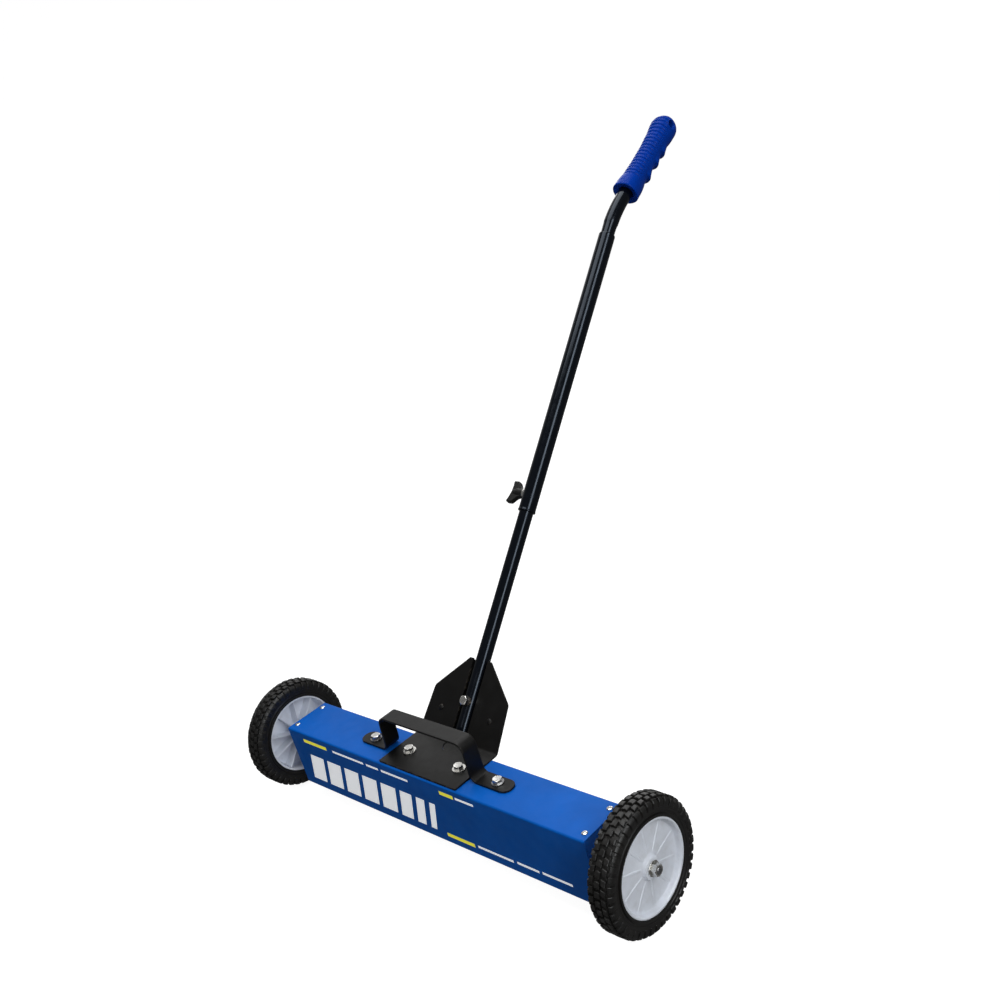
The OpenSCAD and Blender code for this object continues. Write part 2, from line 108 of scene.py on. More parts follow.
TUBE = shift(0, PLATE_Y + AXIS_BACK, BRACKET_TOP - AXIS_DROP) @ turn(-TILT, "X")
PLATE = shift(0, PLATE_Y, BRACKET_TOP) @ turn(90 - TILT, "X")
NECK = TUBE @ shift(0, NECK_R, UPPER_END + NECK_LEAD) @ turn(-NECK_BEND, "X")
GRIP = NECK @ shift(0, -NECK_R, GRIP_START)
CLAMP = TUBE @ shift(0, 0, KNOB) @ turn(-90, "Y")
MIRROR = Matrix.Scale(-1, 4, (1, 0, 0))
BOTH = (Matrix.Identity(4), MIRROR)


def wheel_place(side):
    """The middle of a wheel, with Z along its axle and outwards."""
    return shift(side * WHEEL_X, 0, AXLE_Z) @ turn(side * 90, "Y")


def axle_place(side, x):
    """A place on the axle's line at a distance x from the middle, with Z outwards."""
    return shift(side * x, 0, AXLE_Z) @ turn(side * 90, "Y")


# ---------------------------------------------------------------- shapes
class Shape:
    """Points and faces, gathered before they become one mesh."""

    def __init__(self):
        self.points, self.faces = [], []

    def point(self, *p):
        self.points.append(Vector(p))
        return len(self.points) - 1

    def add(self, other, place=None):
        base = len(self.points)
        self.points += [place @ p if place else p for p in other.points]
        self.faces += [[base + i for i in f] for f in other.faces]
        return self

    def strip(self, a, b, closed=True):
        """Faces between two rows of points, where a row of one point is a pole."""
        n = max(len(a), len(b))
        for i in range(n if closed else n - 1):
            j = (i + 1) % n
            corners = (a[i % len(a)], a[j % len(a)], b[j % len(b)], b[i % len(b)])
            self.faces.append(list(dict.fromkeys(corners)))

    def moved(self, change):
        self.points = [Vector(change(p)) for p in self.points]
        return self

    def to_bmesh(self, scale=1.0):
        bm = bmesh.new()
        verts = [bm.verts.new(p * scale) for p in self.points]
        for f in self.faces:
            if len(set(f)) > 2:
                bm.faces.new([verts[i] for i in f])
        return bm

    def cut(self, axis, values):
        """The same shape with lines of edges across it at these values along an axis."""
        bm = self.to_bmesh()
        for value in values:
            plane = Vector([value if i == axis else 0 for i in range(3)])
            normal = Vector([1 if i == axis else 0 for i in range(3)])
            parts = bm.verts[:] + bm.edges[:] + bm.faces[:]
            bmesh.ops.bisect_plane(bm, geom=parts, dist=1e-4, plane_co=plane, plane_no=normal)
        return from_bmesh(bm)


def from_bmesh(bm):
    shape = Shape()
    bm.verts.index_update()
    shape.points = [v.co.copy() for v in bm.verts]
    shape.faces = [[v.index for v in f.verts] for f in bm.faces]
    bm.free()
    return shape


def rounded(points, radius, steps=4, closed=True):
    """The outline with its corners turned into arcs; radius is one number or one per corner."""
    out, n = [], len(points)
    for i, p in enumerate(points):
        r = radius[i] if isinstance(radius, (list, tuple)) else radius
        p = Vector(p)
        if r <= 0 or (not closed and i in (0, n - 1)):
            out.append(p)
            continue
        a, b = Vector(points[i - 1]) - p, Vector(points[(i + 1) % n]) - p
        half = a.angle(b) / 2
        if half > math.radians(89.5) or half < 1e-3:
            out.append(p)
            continue
        reach = min(r / math.tan(half), 0.49 * a.length, 0.49 * b.length)
        a, b = a.normalized(), b.normalized()
        middle = p + (a + b).normalized() * reach / math.cos(half)
        arm = p + a * reach - middle
        swing = (p + b * reach - middle).angle_signed(arm)
        for k in range(steps + 1):
            t = swing * k / steps
            out.append(middle + Matrix.Rotation(t, 2) @ arm)
    return out


def circle(x, y, radius, n=32):
    return [(x + radius * math.cos(math.tau * i / n), y + radius * math.sin(math.tau * i / n))
            for i in range(n)]


def lathe(profile, segments=64, closed=True):
    """The surface that (radius, height) points sweep round the Z axis."""
    shape, rows = Shape(), []
    for r, z in profile:
        if r < 1e-6:
            rows.append([shape.point(0, 0, z)])
            continue
        turns = [math.tau * i / segments for i in range(segments)]
        rows.append([shape.point(r * math.cos(a), r * math.sin(a), z) for a in turns])
    for a, b in zip(rows, rows[1:] + (rows[:1] if closed else [])):
        if len(a) > 1 or len(b) > 1:
            shape.strip(a, b)
    return shape


def plate(outline, holes, low, high, edge=0.4, steps=2):
    """A flat plate in X and Y between two heights, with rounded edges and real holes."""
    curve = bpy.data.curves.new("outline", "CURVE")
    curve.dimensions, curve.fill_mode = "2D", "BOTH"
    for loop in [outline] + list(holes):
        spline = curve.splines.new("POLY")
        spline.points.add(len(loop) - 1)
        for point, (x, y) in zip(spline.points, loop):
            point.co = (x, y, 0, 1)
        spline.use_cyclic_u = True
    curve.extrude = (high - low) / 2 - edge
    curve.bevel_depth, curve.bevel_resolution, curve.offset = edge, steps - 1, -edge
    holder = bpy.data.objects.new("outline", curve)
    mesh = bpy.data.meshes.new_from_object(holder)
    bm = bmesh.new()
    bm.from_mesh(mesh)
    bmesh.ops.remove_doubles(bm, verts=bm.verts, dist=1e-4)
    bmesh.ops.translate(bm, vec=(0, 0, (low + high) / 2), verts=bm.verts)
    bpy.data.objects.remove(holder)
    bpy.data.curves.remove(curve)
    bpy.data.meshes.remove(mesh)
    return from_bmesh(bm)


def block(low, high, edge):
    """A solid between two corners with rounded edges."""
    bm = bmesh.new()
    bmesh.ops.create_cube(bm, size=1)
    size = Vector(high) - Vector(low)
    bmesh.ops.scale(bm, vec=size, verts=bm.verts)
    bmesh.ops.translate(bm, vec=(Vector(low) + Vector(high)) / 2, verts=bm.verts)
    bmesh.ops.bevel(bm, geom=bm.edges[:], offset=edge, segments=2, profile=0.5, affect="EDGES")
    return from_bmesh(bm)


class Fold:
    """The line that a sheet is folded along: t runs along it, and n stands off to its left."""

    def __init__(self, corners, radius):
        corners = [Vector(c) for c in corners]
        self.runs, self.length, start = [], 0.0, corners[0]
        for before, corner, after in zip(corners, corners[1:], corners[2:]):
            d1, d2 = (corner - before).normalized(), (after - corner).normalized()
            swing = math.atan2(d1.x * d2.y - d1.y * d2.x, d1.dot(d2))
            reach = radius * math.tan(abs(swing) / 2)
            self._run(start, d1, (corner - start).length - reach, 0.0)
            self._run(corner - d1 * reach, d1, radius * abs(swing), math.copysign(1 / radius, swing))
            start = corner + d2 * reach
        self._run(start, (corners[-1] - start).normalized(), (corners[-1] - start).length, 0.0)

    def _run(self, start, heading, length, curve):
        self.runs.append((self.length, length, start, math.atan2(heading.y, heading.x), curve))
        self.length += length

    def at(self, t, n):
        t0, _, start, heading, curve = [r for r in self.runs if r[0] <= max(t, 0)][-1]
        s = t - t0
        a = heading + curve * s
        if curve:
            along = Vector((math.sin(a) - math.sin(heading), math.cos(heading) - math.cos(a))) / curve
        else:
            along = s * Vector((math.cos(a), math.sin(a)))
        return start + along + n * Vector((-math.sin(a), math.cos(a)))

    def cuts(self, steps=6):
        """Where a flat sheet needs lines of edges so that it can bend."""
        bends = [r for r in self.runs if r[4]]
        return [t0 + length * k / steps for t0, length, *_ in bends for k in range(steps + 1)]


def folded(shape, fold, across="x", steps=6):
    """A flat shape, drawn as (across, along, thickness), folded into place."""
    def change(p):
        a, b = fold.at(p.y, p.z)
        return (p.x, a, b) if across == "x" else (a, p.x, b)
    return shape.cut(1, fold.cuts(steps)).moved(change)


def sheet(fold, half, thick, holes, corner):
    """A folded strip, half wide on either side and thick on the fold's right."""
    outline = rounded([(-half, 0), (half, 0), (half, fold.length), (-half, fold.length)], corner)
    return folded(plate(outline, holes, -thick, 0, 0.35), fold)


# ---------------------------------------------------------------- fasteners
def hexagon(across, height, bore=0.0):
    """A hexagonal head, or a nut if it has a bore, with its corners turned off."""
    n, flat, shape = 48, across / 2, Shape()
    land = flat * 0.94

    def ring(rule):
        out = []
        for i in range(n):
            a = math.tau * i / n
            r = flat / math.cos((a % (math.pi / 3)) - math.pi / 6)
            radius, z = rule(r)
            out.append(shape.point(radius * math.cos(a), radius * math.sin(a), z))
        return out

    slope = math.tan(math.radians(30))
    rows = [ring(lambda r: (r, (r - flat) * slope if bore else 0)),
            ring(lambda r: (r, height - (r - land) * slope)),
            ring(lambda r: (land, height))]
    if bore:
        b = bore / 2
        rows += [ring(lambda r: (b + 0.6, height)), ring(lambda r: (b, height - 0.6)),
                 ring(lambda r: (b, 0.6)), ring(lambda r: (b + 0.6, 0)), ring(lambda r: (land, 0))]
        rows.append(rows[0])
    else:
        rows += [ring(lambda r: (land - 1.2, height - 0.25)), [shape.point(0, 0, height - 0.3)]]
        rows = [[shape.point(0, 0, 0)]] + rows
    for a, b in zip(rows, rows[1:]):
        shape.strip(a, b)
    return shape


def threaded(diameter, low, high, plain=0.0, pitch=1.25):
    """A rod with rolled thread from low + plain up to high, and a chamfered end."""
    r, depth = diameter / 2, 0.55
    profile = [(0, low), (r, low)] + ([(r, low + plain)] if plain else [])
    z = low + plain
    while z + pitch < high - 0.8:
        profile += [(r - depth, z + 0.1 * pitch), (r - depth, z + 0.3 * pitch),
                    (r, z + 0.65 * pitch), (r, z + 0.8 * pitch)]
        z += pitch
    profile += [(r - depth, z + 0.2), (r - depth - 0.2, high - 0.5), (r - depth - 0.9, high), (0, high)]
    return lathe(profile, 32, closed=False)


def washer(outer, inner, height, edge=0.3):
    """A flat ring or a sleeve, standing on z = 0."""
    corners = [(inner / 2, 0), (outer / 2, 0), (outer / 2, height), (inner / 2, height)]
    return lathe(rounded(corners, edge, 2), 48)


def bolt(diameter, across, head, length):
    """A hex bolt with its head on z = 0 and its shank below."""
    shank = threaded(diameter, 0, length + 0.5, length * 0.35)
    return Shape().add(hexagon(across, head)).add(shank, shift(0, 0, 0.5) @ turn(180, "X"))


def cross_screw(radius, height, shank, length):
    """A domed screw head with a cross recess, standing on z = 0."""
    shape, rows = Shape(), []
    n, steps = 64, 14
    for k in range(steps, 0, -1):
        r = radius * k / steps
        row = []
        for i in range(n):
            a = math.tau * i / n
            x, y = abs(r * math.cos(a)), abs(r * math.sin(a))
            dome = height * math.sqrt(max(0.0, 1 - (0.92 * r / radius) ** 2))
            arm = min(x, y) < 0.55 and max(x, y) < radius * 0.52
            row.append(shape.point(r * math.cos(a), r * math.sin(a), dome - (0.9 if arm else 0)))
        rows.append(row)
    base = [shape.point(radius * math.cos(math.tau * i / n), radius * math.sin(math.tau * i / n), 0)
            for i in range(n)]
    rows = [[shape.point(0, 0, 0)], base] + rows + [[shape.point(0, 0, height - 0.9)]]
    for a, b in zip(rows, rows[1:]):
        shape.strip(a, b)
    return shape.add(threaded(shank, 0, length, 0, 1.0), shift(0, 0, 0.3) @ turn(180, "X"))


# ---------------------------------------------------------------- materials
class Look:
    """A Principled material whose colour, roughness and bump vary over the surface."""

    def __init__(self, name, fixed=()):
        self.material = bpy.data.materials.new(name)
        self.material.use_nodes = True
        self.tree = self.material.node_tree
        self.shader = next(n for n in self.tree.nodes if n.type == "BSDF_PRINCIPLED")
        for socket, value in dict(fixed).items():
            self.shader.inputs[socket].default_value = value
        self.place = self.node("TexCoord", out="Object")

    def node(self, kind, *inputs, out=0, named=None, **settings):
        made = self.tree.nodes.new("ShaderNode" + kind)
        for key, value in settings.items():
            setattr(made, key, value)
        for socket, value in [*enumerate(inputs), *(named or {}).items()]:
            if isinstance(value, bpy.types.NodeSocket):
                self.tree.links.new(value, made.inputs[socket])
            elif value is not None:
                made.inputs[socket].default_value = value
        return made.outputs[out]

    def noise(self, scale, detail, stretch=None):
        place = self.place
        if stretch:
            place = self.node("Mapping", place, None, None, stretch)
        return self.node("TexNoise", place, None, scale, detail, 0.55)

    def spread(self, value, low, high, to_low, to_high):
        return self.node("MapRange", value, low, high, to_low, to_high)

    def math(self, operation, a, b=None):
        return self.node("Math", a, b, operation=operation)

    def mix(self, factor, a, b):
        return self.node("MixRGB", factor, a, b)

    def edges(self, low, high, to_low=0, to_high=1):
        """Rises along outer edges as pointiness goes from low to high, or in hollows if high is lower."""
        return self.spread(self.node("NewGeometry", out="Pointiness"), low, high, to_low, to_high)

    def bump(self, height, distance, strength):
        normal = self.node("Bump", named={"Height": height, "Distance": distance, "Strength": strength})
        self.tree.links.new(normal, self.shader.inputs["Normal"])

    def set(self, socket, value):
        self.tree.links.new(value, self.shader.inputs[socket])
        return self


def shade(colour, factor):
    """An opaque colour, lighter or darker by a factor."""
    return (*[min(1.0, c * factor) for c in colour], 1.0)


def painted(name, colour, rough, wear, peel=700, depth=0.00006, fixed=()):
    """Powder coat or enamel: orange peel, faint mottling, and wear along the edges."""
    look = Look(name, fixed)
    mottle = look.noise(14, 4)
    body = look.mix(look.spread(mottle, 0.3, 0.7, 0, 1), shade(colour, 0.9), shade(colour, 1.1))
    scuffs = look.spread(look.noise(90, 5), 0.5, 0.75, 0, 1)
    worn = look.math("MULTIPLY", look.edges(0.53, 0.6), scuffs)
    look.set("Base Color", look.mix(worn, body, shade(wear, 1)))
    look.set("Roughness", look.spread(look.noise(60, 4), 0.3, 0.7, rough - 0.06, rough + 0.06))
    look.bump(look.noise(peel, 2), depth, 0.6)
    return look, body


def metal(name, colour, rough, stretch=None, grain=220):
    """Plated or bare steel with fine grain and slight staining."""
    look = Look(name, {"Metallic": 1.0})
    stain = look.spread(look.noise(45, 5), 0.35, 0.7, 0, 1)
    look.set("Base Color", look.mix(stain, shade(colour, 0.82), shade(colour, 1.08)))
    fine = look.noise(grain, 4, stretch)
    look.set("Roughness", look.spread(fine, 0.3, 0.7, rough - 0.08, rough + 0.1))
    look.bump(fine, 0.00004, 0.5)
    return look


def moulded(name, colour, rough, grain, depth, hollow_colour=None, fixed=()):
    """Moulded plastic or rubber with a fine grain, darkened in patches in its hollows where a colour for that
    is given.
    """
    look = Look(name, fixed)
    body = look.mix(look.spread(look.noise(25, 4), 0.3, 0.7, 0, 1), shade(colour, 0.93), shade(colour, 1.06))
    if hollow_colour:
        # Patchy darkening in hollows (low pointiness), towards the given colour.
        hollow_mask = look.math("MULTIPLY", look.spread(look.noise(70, 6), 0.45, 0.8, 0, 1),
                         look.edges(0.5, 0.42, 0.15, 1))
        body = look.mix(hollow_mask, body, shade(hollow_colour, 1))
    look.set("Base Color", body)
    look.set("Roughness", look.spread(look.noise(120, 4), 0.3, 0.7, rough - 0.07, rough + 0.07))
    look.bump(look.noise(grain, 3), depth, 0.6)
    return look


# Printed marks: middle X and half width of each bar; middle X and Z and half width of the others
BARS = [(-262, 17), (-218, 17), (-174, 17), (-130, 17), (-86, 17), (-46, 13), (-14, 9), (12, 6)]
THIN_LINES = [(-162, 119, 38), (-103, 119, 14), (-52, 119, 30), (96, 121, 18),
              (129, 43.5, 34), (190, 44.5, 20), (242, 45.5, 26)]
YELLOW_DASHES = [(-246, 119, 30), (60, 121, 14), (60, 42, 28)]
BAR_Z, BAR_HALF, BAR_SLANT = 68, 25, 0.3
LINE_HALF, DASH_HALF = 2.0, 3.2
WHITE_INK, YELLOW_INK = (0.85, 0.87, 0.9, 1), (0.78, 0.72, 0.06, 1)
WALL_FACE = 0.0396              # just inside the front wall's outer face at its top, in metres


def printed_cover(look, body):
    """White and yellow marks printed on the housing's front wall: plain bars and dashes only. The marks also
    give off light in their ink colours, as painted light that makes them brighter than the lamps light them.
    """
    x, y, z = (look.node("SeparateXYZ", look.place, out=i) for i in range(3))
    lean = look.math("MULTIPLY", look.math("SUBTRACT", TOP * MM, z), WALL_LEAN / WALL_HEIGHT)
    front = look.math("LESS_THAN", look.math("ADD", y, WALL_FACE), lean)

    def panel(x0, z0, half_x, half_z, slant=0.0):
        """1 inside a parallelogram centred on x0, z0 (millimetres)."""
        dz = look.math("SUBTRACT", z, z0 * MM)
        dx = look.math("SUBTRACT", look.math("SUBTRACT", x, x0 * MM), look.math("MULTIPLY", dz, slant))
        inside_x = look.math("LESS_THAN", look.math("ABSOLUTE", dx), half_x * MM)
        return look.math("MULTIPLY", inside_x, look.math("LESS_THAN", look.math("ABSOLUTE", dz), half_z * MM))

    def any_of(masks):
        total = masks[0]
        for mask in masks[1:]:
            total = look.math("MAXIMUM", total, mask)
        return look.math("MULTIPLY", total, front)

    white = [panel(x0, BAR_Z, half, BAR_HALF, BAR_SLANT) for x0, half in BARS]
    white += [panel(x0, z0, half, LINE_HALF) for x0, z0, half in THIN_LINES]
    yellow = [panel(x0, z0, half, DASH_HALF) for x0, z0, half in YELLOW_DASHES]
    # Each mark also gives off light in its ink colour: painted light that makes the marks brighter than the
    # lamps alone would.
    painted_mark_light = (0, 0, 0, 1)
    for mask, ink in ((any_of(white), WHITE_INK), (any_of(yellow), YELLOW_INK)):
        body, painted_mark_light = look.mix(mask, body, ink), look.mix(mask, painted_mark_light, ink)
    look.set("Base Color", body)
    look.set("Emission Color", painted_mark_light)


BLUE, BLUE_WEAR, BLACK = (0.0, 0.1, 0.46), (0.01, 0.14, 0.5), (0.0034, 0.0031, 0.0028)
LOOKS = {}


def make_looks():
    """One material for each finish in the record, and a few more for single pieces."""
    satin = {"Specular IOR Level": 0.12}
    blue, _ = painted("blue_coat", BLUE, 0.46, BLUE_WEAR, depth=0.0001, fixed=satin)
    # This coat's Emission Strength lights its printed marks: painted light, not a lamp.
    cover, body = painted("blue_coat_printed_emissive_marks", BLUE, 0.46, BLUE_WEAR, depth=0.0001,
                          fixed={**satin, "Emission Strength": 0.42})
    printed_cover(cover, body)
    powder, _ = painted("black_powder_coat", BLACK, 0.42, (0.3, 0.25, 0.2), 900,
                        fixed={"Specular IOR Level": 0.28})
    enamel, _ = painted("black_tube_enamel", (0.002, 0.0026, 0.0045), 0.17, (0.12, 0.12, 0.12), 300, 0.000002,
                        fixed={"Specular IOR Level": 0.34, "Specular Tint": (0.72, 0.84, 1.0, 1.0)})
    LOOKS.update({
        "blue_paint": blue, "cover": cover, "black_paint": powder, "tube_enamel": enamel,
        "zinc": metal("bright_zinc", (0.8, 0.79, 0.76), 0.26),
        "dark_zinc": metal("weathered_zinc", (0.3, 0.3, 0.31), 0.3),
        "pan_sheet": metal("rolled_pan_sheet", (0.62, 0.62, 0.61), 0.35, (1, 30, 30), 60),
        "bare_steel": metal("mill_finish_steel", (0.28, 0.27, 0.26), 0.48, (1, 12, 12), 80),
        "ferrite": moulded("sintered_ferrite", (0.035, 0.035, 0.038), 0.62, 900, 0.00012, (0.12, 0.09, 0.07)),
        "hub_plastic": moulded("white_hub_plastic", (0.8, 0.83, 0.9), 0.34, 500, 0.00005, (0.4, 0.38, 0.36)),
        "tyre_rubber": moulded("black_tyre_rubber", (0.0065, 0.006, 0.0055), 0.43, 600, 0.0001,
                               (0.03, 0.026, 0.022)),
        "grip_vinyl": moulded("blue_grip_vinyl", (0.0, 0.032, 0.29), 0.36, 900, 0.00002,
                              fixed={"Specular IOR Level": 0.07}),
        "knob_plastic": moulded("black_knob_plastic", (0.0035, 0.0034, 0.0033), 0.48, 1100, 0.00006,
                                fixed={"Specular IOR Level": 0.35}),
    })


# ---------------------------------------------------------------- pieces
def smooth_mesh(name, bm):
    bmesh.ops.recalc_face_normals(bm, faces=bm.faces)
    for face in bm.faces:
        face.smooth = True
    mesh = bpy.data.meshes.new(name)
    bm.to_mesh(mesh)
    bm.free()
    return mesh


def piece(name, shape, *nodes, look=None, sharp=35):
    """Makes a shape the piece that stands for these CAD nodes, on their body and in their finish."""
    node = frame["nodes"][nodes[0]]
    finish = node.data.materials[0].name
    bm = shape.to_bmesh(MM)
    bmesh.ops.remove_doubles(bm, verts=bm.verts, dist=1e-7)
    bmesh.ops.dissolve_degenerate(bm, edges=bm.edges, dist=1e-7)
    mesh = smooth_mesh(name, bm)
    mesh.materials.append(LOOKS[look or finish].material)
    mesh.set_sharp_from_angle(angle=math.radians(sharp))
    made = bpy.data.objects.new(name, mesh)
    bpy.context.scene.collection.objects.link(made)
    weighted = made.modifiers.new("flat faces stay flat", "WEIGHTED_NORMAL")
    weighted.keep_sharp = True
    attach(made, node["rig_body"])
    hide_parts(*nodes)
    return made


def dressed(node):
    """Gives a CAD node that stays as it is the material for its finish."""
    kept = frame["nodes"][node]
    finish = kept.data.materials[0].name
    for i in range(len(kept.data.materials)):
        kept.data.materials[i] = LOOKS[finish].material


def centre_x(node):
    """Middle X of the right-hand half of a node that has one solid on each side."""
    return (box(node)[1].x + fastener_inner(node)) / 2


def fastener_inner(node):
    """Lowest X of the right-hand half of a node that has one solid on each side."""
    return min(v.co.x for v in frame["nodes"][node].data.vertices if v.co.x > 0) / MM


# Housing
def make_housing():
    low, high = box("housing_cover")
    half = high.y + 0.12                # the rounded corner stays this much inside its sharp point
    foot = half - WALL_LEAN
    fold = Fold([(-foot, low.z), (-half, TOP), (half, TOP), (foot, low.z)], 3)
    middle = fold.length / 2
    screw_x, screw_y = centre_x("cover_screws"), 26
    holes = [circle(s * screw_x, middle + t * screw_y, 2.1, 20) for s in (-1, 1) for t in (-1, 1)]
    holes += [circle(s * centre_x("release_bolts"), middle, 6.2, 40) for s in (-1, 1)]
    holes += [circle(s * centre_x("bracket_bolts"), middle, 4.2, 32) for s in (-1, 1)]
    piece("housing_shell", sheet(fold, high.x, 1.5, holes, 1.0), "housing_cover", look="cover")

    heads = Shape()
    screw = cross_screw(4.25, 2.0, 4, 8)
    for m in BOTH:
        for y in (-screw_y, screw_y):
            heads.add(screw, m @ shift(screw_x, y, TOP))
    piece("cover_screw_heads", heads, "cover_screws")


def make_end_panels():
    low, high = box("end_plate_right")
    top_half, foot_half = high.y, high.y - 3.9
    fold = Fold([(low.x, high.z), (high.x, high.z), (high.x, low.z), (low.x, low.z)], 2.6)
    flange = high.x - low.x
    t_foot = fold.length - flange
    outline = rounded([(-top_half, 0), (top_half, 0), (top_half, flange), (foot_half, t_foot),
                       (foot_half, fold.length), (-foot_half, fold.length), (-foot_half, t_foot),
                       (-top_half, flange)], [2, 2, 0, 0, 2, 2, 0, 0])
    panel = folded(plate(outline, [], -2, 0, 0.35), fold, "y")
    piece("right_end_panel", panel, "end_plate_right")
    piece("left_end_panel", Shape().add(panel, MIRROR), "end_plate_left")


def make_pan():
    low, high = box("bottom_pan")
    fold = Fold([(low.y, high.z), (low.y, low.z), (high.y, low.z), (high.y, high.z)], 1.8)
    side, floor = high.x - 18, high.x
    near = high.z - low.z - 1           # where the floor widens, and where it narrows again
    far = fold.length - near
    outline = [(-side, 0), (side, 0), (side, near), (floor, near), (floor, far), (side, far),
               (side, fold.length), (-side, fold.length), (-side, far), (-floor, far), (-floor, near),
               (-side, near)]
    middle = fold.length / 2
    holes = [circle(s * centre_x("pan_screws"), middle + t * 20, 4, 24) for s in (-1, 1) for t in (-1, 1)]
    piece("nail_pan", folded(plate(rounded(outline, 1.0, 3), holes, 0, 1.2, 0.3), fold), "bottom_pan")
    dressed("pan_screws")


def make_magnets():
    low, high = box("magnet_carrier")
    fold = Fold([(low.y, low.z), (low.y, high.z), (high.y, high.z), (high.y, low.z)], 3.2)
    x = centre_x("release_bolts")
    holes = [circle(s * x, fold.length / 2, 4, 24) for s in (-1, 1)]
    piece("magnet_carrier_channel", sheet(fold, high.x, 2.5, holes, 1.5), "magnet_carrier")
    low, high = box("magnet_blocks")
    blocks, half = Shape(), 35
    for x in (0, -73, 73, -180, 180, -253, 253):
        blocks.add(block((x - half, low.y, low.z), (x + half, high.y, high.z), 1.2))
    piece("ferrite_magnets", blocks, "magnet_blocks")


# Release handle
def make_release():
    low, high = box("release_strap")
    foot, end, w = low.z, high.x, high.y
    thick, leg_foot, leg_top = 3.2, 89, 87
    crown = high.z - thick
    fold = Fold([(-end, foot), (-leg_foot, foot), (-leg_top, crown), (leg_top, crown), (leg_foot, foot),
                 (end, foot)], 12)
    bolt_x = centre_x("release_bolts")
    outline = rounded([(-w, 0), (w, 0), (w, fold.length), (-w, fold.length)], w - 0.05, 12)
    hole_t = end - bolt_x
    holes = [circle(0, t, 4.1) for t in (hole_t, fold.length - hole_t)]
    strap = folded(plate(outline, holes, 0, thick, 0.7, 3), fold, "y", 8)
    piece("strap_handle", strap, "release_strap")

    washer_low, head_z = (corner.z for corner in box("release_washers"))
    shank = head_z - box("release_bolts")[0].z
    piece("release_bolt_set", both_at(bolt(*M8_BOLT, shank), bolt_x, head_z, 9), "release_bolts")
    piece("release_washer_set", both_at(washer(18, 8.6, 1.6), bolt_x, washer_low), "release_washers",
          look="dark_zinc")
    low, high = box("spacer_sleeves")
    piece("release_sleeves", both_at(washer(12, 8.2, high.z - low.z), bolt_x, low.z), "spacer_sleeves")
    piece("release_nut_set", both_at(hexagon(*M8_NUT), bolt_x, box("release_nuts")[0].z), "release_nuts")


def both_at(shape, x, z, spin=0):
    """One copy on each side of the middle, turned a little differently."""
    made = Shape().add(shape, shift(x, 0, z) @ turn(spin, "Z"))
    return made.add(shape, shift(-x, 0, z) @ turn(-1.7 * spin, "Z"))


# Bracket
def make_bracket():
    low, high = box("mounting_bracket")
    half, front = high.x, low.y
    rise = (math.sin(math.radians(TILT)), math.cos(math.radians(TILT)))
    tip = (PLATE_Y + PLATE_REACH * rise[0], BRACKET_TOP + PLATE_REACH * rise[1])
    fold = Fold([(front, BRACKET_TOP), (PLATE_Y, BRACKET_TOP), tip], 6)
    start = fold.length - PLATE_REACH   # the back plate's foot, along the fold
    slot, slot_t = 15, SLOT_FRONT - front
    wing = [(half, 0), (half, start), (77, start + 71), (22, fold.length)]
    outline = [(-half, 0)] + wing
    outline += [(slot, fold.length), (slot, slot_t), (-slot, slot_t), (-slot, fold.length)]
    outline += [(-x, t) for x, t in reversed(wing[2:])] + [(-half, start)]
    radii = [2, 2, 6, 10, 2, 1.2, 14.9, 14.9, 1.2, 2, 10, 6]
    bolt_x = centre_x("bracket_bolts")
    holes = [circle(s * bolt_x, -front, 4.2) for s in (-1, 1)]
    holes += [circle(s * RIVET_X, start + RIVET_UP, 2.5, 20) for s in (-1, 1)]
    bent = folded(plate(rounded(outline, radii, 8), holes, -PLATE_THICK, 0, 0.6), fold, steps=8)
    piece("handle_bracket", bent, "mounting_bracket")

    head_z = box("bracket_washers")[1].z
    shank = head_z - box("bracket_bolts")[0].z
    piece("bracket_bolt_set", both_at(bolt(*M8_BOLT, shank), bolt_x, head_z, 21), "bracket_bolts")
    piece("bracket_washer_set", both_at(washer(20, 8.6, 1.6), bolt_x, BRACKET_TOP), "bracket_washers")
    piece("bracket_nut_set", both_at(hexagon(*M8_NUT), bolt_x, box("bracket_nuts")[0].z), "bracket_nuts")


